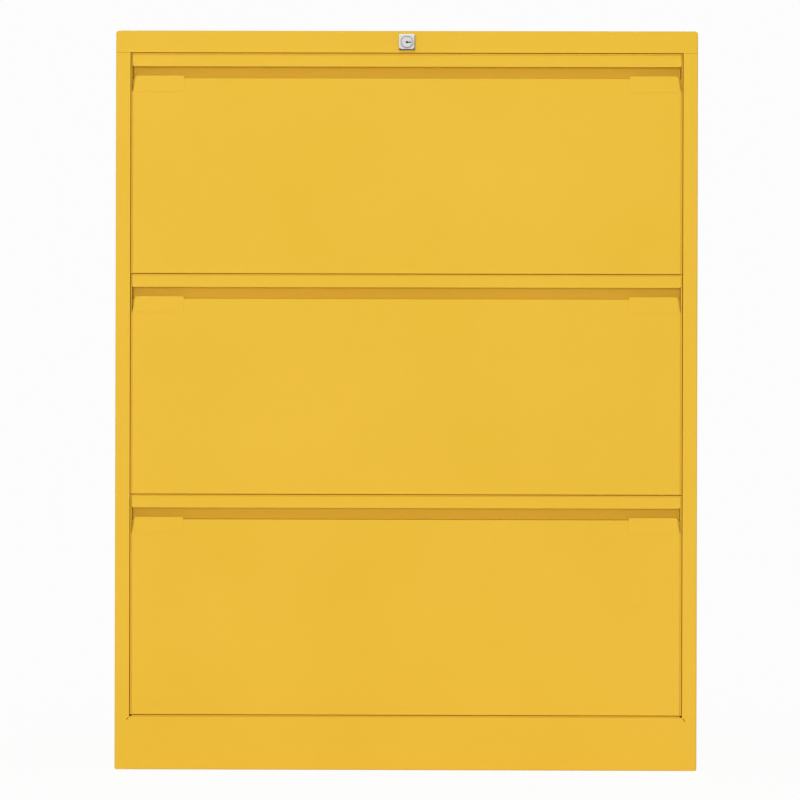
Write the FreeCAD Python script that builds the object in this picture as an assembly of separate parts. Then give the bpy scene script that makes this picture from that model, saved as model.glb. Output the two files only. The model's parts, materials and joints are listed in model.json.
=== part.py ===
import FreeCAD
import Part
import math
import os

# Side filing cabinet with three drawers, in folded sheet steel. Millimetres.
# The front faces -Y, +X is to the right seen from the front, and +Z is up.
# The origin is on the floor, in the middle of the box that holds the cabinet.
# A piece that has a twin is drawn on the right and mirrored to the left.

# Case
WIDTH = 800.0
DEPTH = 470.0
HEIGHT = 1016.0
SHEET = 1.0
BEND_RADIUS = 1.5
LID_FLANGE = 30.0
LID_SIDE_RADIUS = 5.0
LID_EDGE_RADIUS = 2.0
STILE_WIDTH = 20.0
STILE_RETURN = 18.0
FOLD_DEPTH = 3.5
LID_SEAM = 0.3
REAR_FLANGE = 20.0
BOTTOM_CORNER_RADIUS = 3.0
RELIEF_RUN = 4.0
RELIEF_WIDTH = 1.2
PLINTH_HEIGHT = 73.0
PLINTH_TOP_FLANGE = 20.0
PLINTH_FOOT_FLANGE = 12.0
BASE_FLANGE = 20.0
BACK_LAP = 20.0
POST_SHEET = 1.2
POST_WIDTH = 40.0
POST_FRONT_GAP = 6.0
POST_REAR_GAP = 20.0
TOP_RAIL_SHEET = 1.2
TOP_RAIL_DEPTH = 22.0
TOP_RAIL_HEIGHT = 27.0
TOP_RAIL_END_GAP = 10.0

# Drawer fronts and their finger recesses
DRAWER_COUNT = 3
TOP_GAP = 3.0
FRONT_GAP = 2.5
FOLD_CLEARANCE = 0.8
SIDE_GAP = 3.0
FRONT_INSET = 1.0
LIP_HEIGHT = 16.2
LIP_CORNER_RADIUS = 2.5
LIP_HEM = 9.0
GRIP_OPENING = 15.8
GRIP_DEPTH = 20.0
GRIP_LAP = 20.0
CORNER_TAPER = 4.5
CORNER_TAPER_RISE = 18.6
END_PLATE_SHEET = 0.8
END_PLATE_RISE = 3.0
END_PLATE_LENGTH = 67.5
END_PLATE_INSET = 3.5
END_PLATE_RADIUS = 4.0

# Drawer trays
SLIDE_THICKNESS = 14.0
FLOOR_RISE = 12.0
TRAY_FLANGE = 10.0
TRAY_REAR_ROOM = 25.0
RAIL_SHEET = 1.5
RAIL_REACH = 16.0
RAIL_LEAF = 20.0
RAIL_DROP = 5.0
RAIL_BLADE = 15.0
RAIL_END_GAP = 1.0

# Ball slides: depths are measured inwards from the face of the uprights
SLIDE_SHEET = 1.2
SLIDE_HEIGHT = 46.0
SLIDE_RISE = 90.0
SLIDE_FRONT_GAP = 1.0
SLIDE_EDGE_GAP = 1.5
BALL_DIAMETER = 4.0
BALL_CLEARANCE = 0.3
BALL_HOLE_CLEARANCE = 0.2
BALLS_IN_ROW = 6
CAGE_SHEET = 0.6
CAGE_CLEARANCE = 0.4
CAGE_LENGTH_SHARE = 0.43
CAGE_END_MARGIN = 8.0

# Lock
LOCK_DROP = 16.0
LOCK_PROUD = 5.0
BEZEL_WIDTH = 23.5
BEZEL_BEVEL = 2.4
BEZEL_CORNER_RADIUS = 2.0
HOUSING_DIAMETER = 19.0
HOUSING_LENGTH = 20.0
HOUSING_CLEARANCE = 0.1
NUT_FLATS = 21.0
NUT_THICKNESS = 5.0
BARREL_DIAMETER = 16.4
BARREL_RECESS = 0.5
BARREL_EDGE = 0.5
RUNNING_CLEARANCE = 0.05
KEYWAY_LENGTH = 6.4
KEYWAY_WIDTH = 1.8
KEYWAY_DEPTH = 12.0
KEYWAY_EYE_DIAMETER = 3.6
TANG_WIDTH = 5.0
TANG_LENGTH = 10.0
SHAFT_DIAMETER = 10.0
SPIGOT_DIAMETER = 6.0
SHAFT_BRACKET_SETBACK = 20.0
SHAFT_BRACKET_WIDTH = 30.0
SHAFT_BRACKET_DROP = 10.0
SHAFT_BRACKET_SHEET = 2.0
SHAFT_BRACKET_FLANGE = 15.0
CRANK_RADIUS = 8.0
CRANK_THICKNESS = 4.0
CRANK_RIM = 4.0
CRANK_PIN_DIAMETER = 5.0
CRANK_BAR_GAP = 1.0
BAR_WIDTH = 30.0
BAR_THICKNESS = 3.0
BAR_CLEARANCE = 0.3
BAR_SLOT_CLEARANCE = 0.5
BAR_END = 3.0
GUIDE_SHEET = 1.2
GUIDE_HEIGHT = 20.0
GUIDE_FOOT = 12.0
CATCH_WIDTH = 20.0
CATCH_SHEET = 2.0
CATCH_TOOTH = 3.0
CATCH_TOOTH_LENGTH = 12.0
CATCH_GAP = 2.0
CATCH_CLEARANCE = 1.0
TAB_DROP = 30.0
TAB_LENGTH = 16.0
TAB_LIP = 14.0

# Levelling feet, drawn wound up
FOOT_PAD_DIAMETER = 30.0
FOOT_PAD_HEIGHT = 8.0
FOOT_STEM_DIAMETER = 10.0
FOOT_STEM_LENGTH = 52.0
FOOT_WOUND_UP = 1.0
FOOT_INSET = 32.0
FOOT_FRONT_SETBACK = 50.0
FOOT_REAR_SETBACK = 50.0
FOOT_CLEARANCE = 0.1
FOOT_ACCESS_DIAMETER = 14.0
FOOT_PLATE_RISE = 30.0
FOOT_PLATE_SHEET = 3.0
FOOT_PLATE_WIDTH = 44.0
FOOT_LEAF_DROP = 20.0
FOOT_BOSS_DIAMETER = 18.0
FOOT_BOSS_HEIGHT = 8.0

# How far a cutter runs past the faces that it cuts
OVERRUN = 1.0

# Axes
AXIS_X = FreeCAD.Vector(1, 0, 0)
AXIS_Y = FreeCAD.Vector(0, 1, 0)
AXIS_Z = FreeCAD.Vector(0, 0, 1)

# Places that follow from the sizes
CASE_HALF = WIDTH / 2
Y_FRONT = LOCK_PROUD - (DEPTH + LOCK_PROUD) / 2
Y_BACK = Y_FRONT + DEPTH
CASE_TOP = HEIGHT - LID_FLANGE
LID_UNDERSIDE = HEIGHT - SHEET
WALL_FACE = CASE_HALF - SHEET
POST_FACE = CASE_HALF - STILE_WIDTH
BACK_FACE = Y_BACK - 2 * SHEET
BASE_TOP = PLINTH_HEIGHT - SHEET
BASE_FRONT = Y_FRONT + SHEET
STILE_BACK = Y_FRONT + STILE_RETURN
FOLD_FACE = Y_FRONT + FOLD_DEPTH
FOLD_BACK = FOLD_FACE + SHEET

DRAWER_BOTTOM = PLINTH_HEIGHT + FRONT_GAP
DRAWER_ROOM = CASE_TOP - TOP_GAP - DRAWER_BOTTOM
DRAWER_PITCH = (DRAWER_ROOM + FRONT_GAP) / DRAWER_COUNT
FRONT_HEIGHT = DRAWER_PITCH - FRONT_GAP
FRONT_HALF = POST_FACE - SIDE_GAP
FRONT_FACE = Y_FRONT + FRONT_INSET
SHELF_DROP = LIP_HEIGHT + GRIP_OPENING
RECESS_BACK = FRONT_FACE + GRIP_DEPTH
INNER_FRONT = RECESS_BACK + SHEET
TRAY_FRONT = INNER_FRONT + SHEET
TRAY_BACK = BACK_FACE - TRAY_REAR_ROOM
TRAY_HALF = POST_FACE - SLIDE_THICKNESS
TRAY_TOP_DROP = SHELF_DROP + GRIP_LAP
GRIP_WALL_DROP = TRAY_TOP_DROP + GRIP_LAP

SLIDE_FRONT = TRAY_FRONT + SLIDE_FRONT_GAP
SLIDE_BACK = TRAY_BACK
SLIDE_LENGTH = SLIDE_BACK - SLIDE_FRONT
SLIDE_EDGE = SLIDE_THICKNESS - SLIDE_EDGE_GAP
BALL_TRACK = BALL_DIAMETER + 2 * BALL_CLEARANCE
MIDDLE_HEIGHT = SLIDE_HEIGHT - 2 * (SLIDE_SHEET + BALL_TRACK)
INNER_HEIGHT = MIDDLE_HEIGHT - 2 * (SLIDE_SHEET + BALL_TRACK)
OUTER_CAGE_WEB = SLIDE_SHEET + CAGE_CLEARANCE
MIDDLE_WEB = OUTER_CAGE_WEB + CAGE_SHEET + CAGE_CLEARANCE
INNER_CAGE_WEB = MIDDLE_WEB + SLIDE_SHEET + CAGE_CLEARANCE
INNER_EDGE = INNER_CAGE_WEB + CAGE_SHEET + CAGE_CLEARANCE
BALL_DEPTH = (INNER_EDGE + SLIDE_EDGE) / 2
CAGE_EDGE = SLIDE_EDGE - CAGE_CLEARANCE
CAGE_LENGTH = SLIDE_LENGTH * CAGE_LENGTH_SHARE
CAGE_FRONT = (SLIDE_FRONT + SLIDE_BACK - CAGE_LENGTH) / 2

LOCK_HEIGHT = HEIGHT - LOCK_DROP
BEZEL_FRONT = Y_FRONT - LOCK_PROUD
LID_FLANGE_BACK = Y_FRONT + SHEET
TOP_RAIL_BACK = LID_FLANGE_BACK + TOP_RAIL_SHEET
HOUSING_BACK = Y_FRONT + HOUSING_LENGTH
BAR_BACK = BACK_FACE - BAR_CLEARANCE
BAR_FRONT = BAR_BACK - BAR_THICKNESS
CRANK_BACK = BAR_FRONT - CRANK_BAR_GAP
CRANK_FRONT = CRANK_BACK - CRANK_THICKNESS
PIN_OFFSET = CRANK_RADIUS * math.sqrt(0.5)
PIN_HEIGHT = LOCK_HEIGHT + PIN_OFFSET
TAB_END = TRAY_BACK + TAB_LENGTH
CATCH_TOOTH_BACK = TAB_END - CATCH_SHEET - CATCH_GAP


def box(x0, x1, y0, y1, z0, z1):
    """Block between two corners."""
    return Part.makeBox(x1 - x0, y1 - y0, z1 - z0, FreeCAD.Vector(x0, y0, z0))


def wide_box(half, y0, y1, z0, z1):
    """Block that reaches equally far to the left and to the right."""
    return box(-half, half, y0, y1, z0, z1)


def rod(diameter, axis, start, length):
    """Round bar from a start point along an axis."""
    return Part.makeCylinder(diameter / 2, length, start, axis)


def prism(points, push):
    """Closed outline pushed along a vector."""
    return Part.Face(Part.makePolygon(points + points[:1])).extrude(push)


def join(first, *others):
    """One solid from pieces that touch or overlap."""
    return first.fuse(list(others)).removeSplitter()


def soften(block, axis, radius, wanted):
    """Round those edges of a plain block that run along an axis and whose middle is wanted."""
    chosen = []
    for edge in block.Edges:
        run = edge.Vertexes[1].Point - edge.Vertexes[0].Point
        if abs(run.dot(axis)) > edge.Length / 2 and wanted(edge.CenterOfMass):
            chosen.append(edge)
    return block.makeFillet(radius, chosen)


def mirrored(shape):
    """The same piece on the other side of the cabinet."""
    return shape.mirror(FreeCAD.Vector(0, 0, 0), AXIS_X)


def pair(shape):
    """A right-hand piece together with its left-hand twin."""
    return Part.makeCompound([shape, mirrored(shape)])


def save(node, shape):
    """Write one named piece."""
    shape.exportStep("parts/" + node + ".step")


def drawer_top(number):
    """Top of a drawer front. Drawers are counted from the top."""
    return CASE_TOP - TOP_GAP - (number - 1) * DRAWER_PITCH


def upstand(low, gap):
    """Low fold behind the fronts that closes most of the gap above a piece."""
    return wide_box(FRONT_HALF, FOLD_FACE, FOLD_BACK, low - SHEET, low + gap - FOLD_CLEARANCE)


# Case


def lid_block(inset):
    """The lid's outer form, or the same form drawn in by an inset."""
    half = CASE_HALF - inset
    front = Y_FRONT + inset
    back = Y_BACK - inset
    block = wide_box(half, front, back, CASE_TOP - inset, HEIGHT - inset)
    middle = CASE_TOP + LID_FLANGE / 2
    sides = soften(block, AXIS_Y, LID_SIDE_RADIUS - inset, lambda at: at.z > middle)
    edges = soften(block, AXIS_X, LID_EDGE_RADIUS - inset, lambda at: at.z > middle)
    corners = soften(block, AXIS_Z, LID_EDGE_RADIUS - inset, lambda at: True)
    return sides.common(edges).common(corners)


def lock_hole(diameter):
    """Cutter for the lock through the lid's front flange and the rail behind it."""
    start = FreeCAD.Vector(0, Y_FRONT - OVERRUN, LOCK_HEIGHT)
    return rod(diameter, AXIS_Y, start, HOUSING_LENGTH)


def top_panel():
    """Lid with flanges on all four sides, and the lock's hole in the front one."""
    shell = lid_block(0).cut(lid_block(SHEET))
    return shell.cut(lock_hole(HOUSING_DIAMETER + 2 * HOUSING_CLEARANCE))


def side_panel():
    """Outer wall folded to a front stile with its return, and to a flange at the back."""
    inner = CASE_HALF - STILE_WIDTH
    top = CASE_TOP - LID_SEAM
    wall = box(WALL_FACE, CASE_HALF, Y_FRONT, Y_BACK, 0, top)
    stile = box(inner, CASE_HALF, Y_FRONT, Y_FRONT + SHEET, 0, top)
    stile_return = box(inner, inner + SHEET, Y_FRONT, STILE_BACK, 0, top)
    flange = box(CASE_HALF - REAR_FLANGE, CASE_HALF, Y_BACK - SHEET, Y_BACK, 0, top)
    bounds = box(0, CASE_HALF, Y_FRONT, Y_BACK, 0, top)
    bends = soften(bounds, AXIS_Z, LID_EDGE_RADIUS, lambda at: at.x > inner)
    foot = soften(bounds, AXIS_Y, BOTTOM_CORNER_RADIUS, lambda at: at.x > inner and at.z < PLINTH_HEIGHT)
    corner_run = FreeCAD.Vector(RELIEF_RUN, 0, -RELIEF_RUN)
    corner_width = FreeCAD.Vector(0, 0, -RELIEF_WIDTH)
    corner = FreeCAD.Vector(inner, Y_FRONT - OVERRUN, PLINTH_HEIGHT)
    outline = [corner, corner + corner_run, corner + corner_run + corner_width, corner + corner_width]
    relief = prism(outline, FreeCAD.Vector(0, OVERRUN + SHEET, 0))
    return join(wall, stile, stile_return, flange).common(bends).common(foot).cut(relief)


def front_plinth():
    """Channel below the drawers, between the stiles, with an upstand behind the gap above it."""
    face = wide_box(POST_FACE, Y_FRONT, Y_FRONT + SHEET, 0, PLINTH_HEIGHT)
    top = wide_box(POST_FACE, Y_FRONT, Y_FRONT + PLINTH_TOP_FLANGE, BASE_TOP, PLINTH_HEIGHT)
    foot = wide_box(POST_FACE, Y_FRONT, Y_FRONT + PLINTH_FOOT_FLANGE, 0, SHEET)
    channel = join(face, top, foot)
    bounds = wide_box(POST_FACE, Y_FRONT, Y_FRONT + PLINTH_TOP_FLANGE, 0, PLINTH_HEIGHT)
    folded = channel.common(soften(bounds, AXIS_X, BEND_RADIUS, lambda at: at.y < Y_FRONT + SHEET))
    return join(folded, upstand(PLINTH_HEIGHT, FRONT_GAP))


def back_panel():
    """Flat sheet inside the rear flanges, lapped by the lid and clear of its corner bends."""
    return wide_box(CASE_HALF - LID_EDGE_RADIUS, BACK_FACE, Y_BACK - SHEET, 0, CASE_TOP + BACK_LAP)


def foot_places():
    """Left, right, front and rear places of the feet, by name."""
    across = WALL_FACE - FOOT_INSET
    front = Y_FRONT + FOOT_FRONT_SETBACK
    rear = BACK_FACE - FOOT_REAR_SETBACK
    return {
        "front_left": FreeCAD.Vector(-across, front, 0),
        "front_right": FreeCAD.Vector(across, front, 0),
        "rear_left": FreeCAD.Vector(-across, rear, 0),
        "rear_right": FreeCAD.Vector(across, rear, 0),
    }


def base_panel():
    """Sheet under the drawers, with its sides turned down and holes over the feet."""
    under = BASE_TOP - SHEET
    front = wide_box(POST_FACE, BASE_FRONT, STILE_BACK, under, BASE_TOP)
    floor = wide_box(WALL_FACE, STILE_BACK, BACK_FACE, under, BASE_TOP)
    flange = box(WALL_FACE - SHEET, WALL_FACE, STILE_BACK, BACK_FACE, under - BASE_FLANGE, BASE_TOP)
    panel = join(front, floor, flange, mirrored(flange))
    for place in foot_places().values():
        start = place + FreeCAD.Vector(0, 0, under - OVERRUN)
        panel = panel.cut(rod(FOOT_ACCESS_DIAMETER, AXIS_Z, start, SHEET + 2 * OVERRUN))
    return panel


def upright(front):
    """Channel post against the side wall. The slides are fixed to its face."""
    back = front + POST_WIDTH
    web = box(POST_FACE, POST_FACE + POST_SHEET, front, back, BASE_TOP, CASE_TOP)
    near = box(POST_FACE, WALL_FACE, front, front + POST_SHEET, BASE_TOP, CASE_TOP)
    far = box(POST_FACE, WALL_FACE, back - POST_SHEET, back, BASE_TOP, CASE_TOP)
    return join(web, near, far)


def uprights():
    """Front and rear posts of the right-hand side."""
    front = upright(STILE_BACK + POST_FRONT_GAP)
    rear = upright(BACK_FACE - POST_REAR_GAP - POST_WIDTH)
    return Part.makeCompound([front, rear])


def top_rail():
    """Angle behind the lid's front flange. It stands on the stile returns and holds the lock."""
    half = WALL_FACE - TOP_RAIL_END_GAP
    web = wide_box(half, LID_FLANGE_BACK, TOP_RAIL_BACK, CASE_TOP, CASE_TOP + TOP_RAIL_HEIGHT)
    back = LID_FLANGE_BACK + TOP_RAIL_DEPTH
    flange = wide_box(half, LID_FLANGE_BACK, back, CASE_TOP, CASE_TOP + TOP_RAIL_SHEET)
    return join(web, flange).cut(lock_hole(HOUSING_DIAMETER + 2 * HOUSING_CLEARANCE))


# Levelling feet


def foot(place):
    """Threaded stem on a round pad, wound up clear of the floor."""
    start = place + FreeCAD.Vector(0, 0, FOOT_WOUND_UP)
    pad = rod(FOOT_PAD_DIAMETER, AXIS_Z, start, FOOT_PAD_HEIGHT)
    stem = rod(FOOT_STEM_DIAMETER, AXIS_Z, start, FOOT_PAD_HEIGHT + FOOT_STEM_LENGTH)
    return join(pad, stem)


def foot_bracket(place):
    """Angle on the right side wall with a threaded boss for one foot."""
    y0 = place.y - FOOT_PLATE_WIDTH / 2
    y1 = place.y + FOOT_PLATE_WIDTH / 2
    x0 = place.x - FOOT_PLATE_WIDTH / 2
    top = FOOT_PLATE_RISE + FOOT_PLATE_SHEET
    plate = box(x0, WALL_FACE, y0, y1, FOOT_PLATE_RISE, top)
    leaf = box(WALL_FACE - FOOT_PLATE_SHEET, WALL_FACE, y0, y1, FOOT_PLATE_RISE - FOOT_LEAF_DROP, top)
    boss_start = place + FreeCAD.Vector(0, 0, FOOT_PLATE_RISE)
    boss = rod(FOOT_BOSS_DIAMETER, AXIS_Z, boss_start, FOOT_PLATE_SHEET + FOOT_BOSS_HEIGHT)
    bore_start = place + FreeCAD.Vector(0, 0, FOOT_PLATE_RISE - OVERRUN)
    bore_length = FOOT_PLATE_SHEET + FOOT_BOSS_HEIGHT + 2 * OVERRUN
    bore = rod(FOOT_STEM_DIAMETER + 2 * FOOT_CLEARANCE, AXIS_Z, bore_start, bore_length)
    return join(plate, leaf, boss).cut(bore)


def foot_brackets():
    """The brackets of all four feet."""
    places = foot_places()
    front = foot_bracket(places["front_right"])
    rear = foot_bracket(places["rear_right"])
    return Part.makeCompound([front, rear, mirrored(front), mirrored(rear)])


# Drawers


def drawer_front(number):
    """Folded front: skin with tapered upper corners, shelf under the recess, returns and side folds."""
    top = drawer_top(number)
    bottom = top - FRONT_HEIGHT
    shelf = top - SHELF_DROP
    shoulder = shelf - CORNER_TAPER_RISE
    narrow = FRONT_HALF - CORNER_TAPER
    corners = [
        (-FRONT_HALF, bottom),
        (FRONT_HALF, bottom),
        (FRONT_HALF, shoulder),
        (narrow, shelf),
        (-narrow, shelf),
        (-FRONT_HALF, shoulder),
    ]
    outline = [FreeCAD.Vector(x, FRONT_FACE, z) for x, z in corners]
    skin = prism(outline, FreeCAD.Vector(0, SHEET, 0))
    ledge = wide_box(narrow, FRONT_FACE, RECESS_BACK, shelf - SHEET, shelf)
    foot = wide_box(FRONT_HALF, FRONT_FACE, INNER_FRONT, bottom, bottom + SHEET)
    side = box(FRONT_HALF - SHEET, FRONT_HALF, FRONT_FACE, INNER_FRONT, bottom, shoulder)
    pan = join(skin, ledge, foot, side, mirrored(side))
    bounds = wide_box(FRONT_HALF, FRONT_FACE, INNER_FRONT, bottom, shelf)
    level = soften(bounds, AXIS_X, BEND_RADIUS, lambda at: at.y < RECESS_BACK)
    upright_bends = soften(bounds, AXIS_Z, BEND_RADIUS, lambda at: at.y < RECESS_BACK)
    fold_edge = FRONT_HALF + SIDE_GAP - FOLD_CLEARANCE
    fold = box(FRONT_HALF - SHEET, fold_edge, FOLD_FACE, FOLD_BACK, bottom, shoulder)
    return join(pan.common(level).common(upright_bends), fold, mirrored(fold))


def grip_rail(number):
    """Inverted channel over the recess: hemmed lip, top with its upstand, wall behind the fingers."""
    top = drawer_top(number)
    gap = TOP_GAP if number == 1 else FRONT_GAP
    shoulder = top - SHELF_DROP - CORNER_TAPER_RISE
    lip_foot = top - LIP_HEIGHT
    wall_foot = top - GRIP_WALL_DROP
    lip = wide_box(FRONT_HALF, FRONT_FACE, FRONT_FACE + SHEET, lip_foot, top)
    hem_back = FRONT_FACE + 2 * SHEET
    hem = wide_box(FRONT_HALF, FRONT_FACE + SHEET, hem_back, lip_foot, lip_foot + LIP_HEM)
    cover = wide_box(FRONT_HALF, FRONT_FACE, INNER_FRONT, top - SHEET, top)
    wall = wide_box(FRONT_HALF, RECESS_BACK, INNER_FRONT, shoulder, top)
    apron = wide_box(FRONT_HALF - SHEET, RECESS_BACK, INNER_FRONT, wall_foot, shoulder)
    strip = wide_box(FRONT_HALF, FRONT_FACE, RECESS_BACK, lip_foot, top)
    level = soften(strip, AXIS_X, BEND_RADIUS, lambda at: at.y < RECESS_BACK and at.z > lip_foot)
    ends = soften(strip, AXIS_Y, LIP_CORNER_RADIUS, lambda at: at.z < top)
    upper = join(lip, hem, cover)
    front_half = upper.common(level).common(ends)
    rear_half = upper.common(wide_box(FRONT_HALF, RECESS_BACK, INNER_FRONT, lip_foot, top))
    return join(front_half, rear_half, wall, apron, upstand(top, gap))


def grip_end_plates(number):
    """Thin plates over the tapered corners at both ends of the recess."""
    shelf = drawer_top(number) - SHELF_DROP
    outer = FRONT_HALF - END_PLATE_INSET
    low = shelf - CORNER_TAPER_RISE
    high = shelf + END_PLATE_RISE
    plate = box(outer - END_PLATE_LENGTH, outer, FRONT_FACE - END_PLATE_SHEET, FRONT_FACE, low, high)
    middle = outer - END_PLATE_LENGTH / 2
    return pair(soften(plate, AXIS_Y, END_PLATE_RADIUS, lambda at: at.x > middle and at.z > shelf))


def tray_levels(number):
    """Underside of the tray's floor, and the top of the tray."""
    top = drawer_top(number)
    return top - FRONT_HEIGHT + FLOOR_RISE, top - TRAY_TOP_DROP


def tray_base(number):
    """Floor of the tray, turned up at the front to close the drawer front from behind."""
    floor, top = tray_levels(number)
    sheet = wide_box(TRAY_HALF - SHEET, INNER_FRONT, TRAY_BACK - SHEET, floor, floor + SHEET)
    front = wide_box(FRONT_HALF, INNER_FRONT, TRAY_FRONT, floor, top)
    return join(sheet, front)


def tray_side(number):
    """Right side of the tray, with its top turned in and a flange under the floor."""
    floor, top = tray_levels(number)
    low = floor - SHEET
    back = TRAY_BACK - SHEET
    wall = box(TRAY_HALF - SHEET, TRAY_HALF, TRAY_FRONT, back, low, top)
    rim = box(TRAY_HALF - SHEET - TRAY_FLANGE, TRAY_HALF, TRAY_FRONT, back, top - SHEET, top)
    seat = box(TRAY_HALF - SHEET - TRAY_FLANGE, TRAY_HALF, TRAY_FRONT, back, low, floor)
    return join(wall, rim, seat)


def tray_back(number):
    """Back of the tray, with the upturned tab that the lock's catch holds."""
    floor, top = tray_levels(number)
    sheet = wide_box(TRAY_HALF, TRAY_BACK - SHEET, TRAY_BACK, floor - SHEET, top)
    half = CATCH_WIDTH / 2
    level = top - TAB_DROP
    arm = wide_box(half, TRAY_BACK, TAB_END, level, level + CATCH_SHEET)
    lip = wide_box(half, TAB_END - CATCH_SHEET, TAB_END, level, level + TAB_LIP)
    return join(sheet, arm, lip)


def file_rail(number, wall, side):
    """Rail for hanging files along the front or back wall: leaf, shelf and upturned blade."""
    top = tray_levels(number)[1]
    half = TRAY_HALF - SHEET - TRAY_FLANGE - RAIL_END_GAP
    shelf = top - RAIL_DROP
    leaf = sorted([wall, wall + side * RAIL_SHEET])
    reach = sorted([wall, wall + side * RAIL_REACH])
    blade = sorted([wall + side * (RAIL_REACH - RAIL_SHEET), wall + side * RAIL_REACH])
    upright_leaf = wide_box(half, leaf[0], leaf[1], shelf - RAIL_LEAF, shelf)
    ledge = wide_box(half, reach[0], reach[1], shelf - RAIL_SHEET, shelf)
    edge = wide_box(half, blade[0], blade[1], shelf - RAIL_SHEET, shelf + RAIL_BLADE)
    return join(upright_leaf, ledge, edge)


def file_rails(number):
    """The front and rear file rails of a drawer."""
    front = file_rail(number, TRAY_FRONT, 1)
    rear = file_rail(number, TRAY_BACK - SHEET, -1)
    return Part.makeCompound([front, rear])


# Ball slides


def slide_middle(number):
    """Height of the slides' centre line."""
    return drawer_top(number) - FRONT_HEIGHT + SLIDE_RISE


def slide_channel(web, edge, sheet, height, front, back, middle):
    """Channel on the right: its web at one depth, its two flanges reaching to another."""
    side = math.copysign(1, edge - web)
    web_ends = sorted([POST_FACE - web, POST_FACE - web - side * sheet])
    flange_ends = sorted([POST_FACE - web, POST_FACE - edge])
    low = middle - height / 2
    high = middle + height / 2
    spine = box(web_ends[0], web_ends[1], front, back, low, high)
    lower = box(flange_ends[0], flange_ends[1], front, back, low, low + sheet)
    upper = box(flange_ends[0], flange_ends[1], front, back, high - sheet, high)
    return join(spine, lower, upper)


def slide_member(web, edge, height, number):
    """One telescoping member of a slide, at its full length."""
    middle = slide_middle(number)
    return slide_channel(web, edge, SLIDE_SHEET, height, SLIDE_FRONT, SLIDE_BACK, middle)


def ball_cages(web, member_height, number):
    """Cage strips of both slides, with their balls in the tracks above and below one member."""
    middle = slide_middle(number)
    track = (member_height + BALL_TRACK) / 2
    height = 2 * track + CAGE_SHEET
    back = CAGE_FRONT + CAGE_LENGTH
    strip = slide_channel(web, CAGE_EDGE, CAGE_SHEET, height, CAGE_FRONT, back, middle)
    hole_diameter = BALL_DIAMETER + 2 * BALL_HOLE_CLEARANCE
    across = POST_FACE - BALL_DEPTH
    step = (CAGE_LENGTH - 2 * CAGE_END_MARGIN) / (BALLS_IN_ROW - 1)
    holes = []
    balls = []
    for count in range(BALLS_IN_ROW):
        along = CAGE_FRONT + CAGE_END_MARGIN + count * step
        for side in (-1, 1):
            centre = FreeCAD.Vector(across, along, middle + side * track)
            holes.append(rod(hole_diameter, AXIS_Z, centre - AXIS_Z * BALL_TRACK, 2 * BALL_TRACK))
            balls.append(Part.makeSphere(BALL_DIAMETER / 2, centre))
    right = [strip.cut(holes)] + balls
    left = [mirrored(piece) for piece in right]
    return Part.makeCompound(right + left)


# Lock


def at_lock(y):
    """Point on the lock's axis."""
    return FreeCAD.Vector(0, y, LOCK_HEIGHT)


def lock_bezel():
    """Square bezel with bevelled edges, and the threaded sleeve behind it."""
    half = BEZEL_WIDTH / 2
    block = box(-half, half, BEZEL_FRONT, Y_FRONT, LOCK_HEIGHT - half, LOCK_HEIGHT + half)
    rim = [edge for edge in block.Edges if edge.BoundBox.YMax < Y_FRONT]
    corners = soften(block, AXIS_Y, BEZEL_CORNER_RADIUS, lambda at: True)
    face = block.makeChamfer(BEZEL_BEVEL, rim).common(corners)
    sleeve = rod(HOUSING_DIAMETER, AXIS_Y, at_lock(Y_FRONT), HOUSING_LENGTH)
    bore_diameter = BARREL_DIAMETER + 2 * RUNNING_CLEARANCE
    bore_length = LOCK_PROUD + HOUSING_LENGTH + 2 * OVERRUN
    bore = rod(bore_diameter, AXIS_Y, at_lock(BEZEL_FRONT - OVERRUN), bore_length)
    small = bore_diameter / 2
    mouth = Part.makeCone(small + BARREL_EDGE, small, BARREL_EDGE, at_lock(BEZEL_FRONT), AXIS_Y)
    return join(face, sleeve).cut([bore, mouth])


def lock_nut():
    """Hexagon nut that clamps the sleeve against the top rail."""
    reach = NUT_FLATS / math.sqrt(3)
    outline = []
    for corner in range(6):
        turn = math.radians(60 * corner)
        offset = FreeCAD.Vector(reach * math.cos(turn), 0, reach * math.sin(turn))
        outline.append(at_lock(TOP_RAIL_BACK) + offset)
    nut = prism(outline, FreeCAD.Vector(0, NUT_THICKNESS, 0))
    bore_diameter = HOUSING_DIAMETER + 2 * HOUSING_CLEARANCE
    bore_length = NUT_THICKNESS + 2 * OVERRUN
    return nut.cut(rod(bore_diameter, AXIS_Y, at_lock(TOP_RAIL_BACK - OVERRUN), bore_length))


def square_bar(width, y0, y1):
    """Square bar on the lock's axis."""
    half = width / 2
    return box(-half, half, y0, y1, LOCK_HEIGHT - half, LOCK_HEIGHT + half)


def lock_barrel():
    """Round barrel with its keyway to the right, and a square tang at the back."""
    front = BEZEL_FRONT + BARREL_RECESS
    drum = rod(BARREL_DIAMETER, AXIS_Y, at_lock(front), HOUSING_BACK - front)
    rim = [edge for edge in drum.Edges if edge.BoundBox.YMax < Y_FRONT]
    drum = drum.makeChamfer(BARREL_EDGE, rim)
    tang = square_bar(TANG_WIDTH, HOUSING_BACK, HOUSING_BACK + TANG_LENGTH)
    half = KEYWAY_WIDTH / 2
    depth = front + KEYWAY_DEPTH
    slot = box(0, KEYWAY_LENGTH, front - OVERRUN, depth, LOCK_HEIGHT - half, LOCK_HEIGHT + half)
    eye = rod(KEYWAY_EYE_DIAMETER, AXIS_Y, at_lock(front - OVERRUN), KEYWAY_DEPTH + OVERRUN)
    return join(drum, tang).cut(join(slot, eye))


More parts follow.
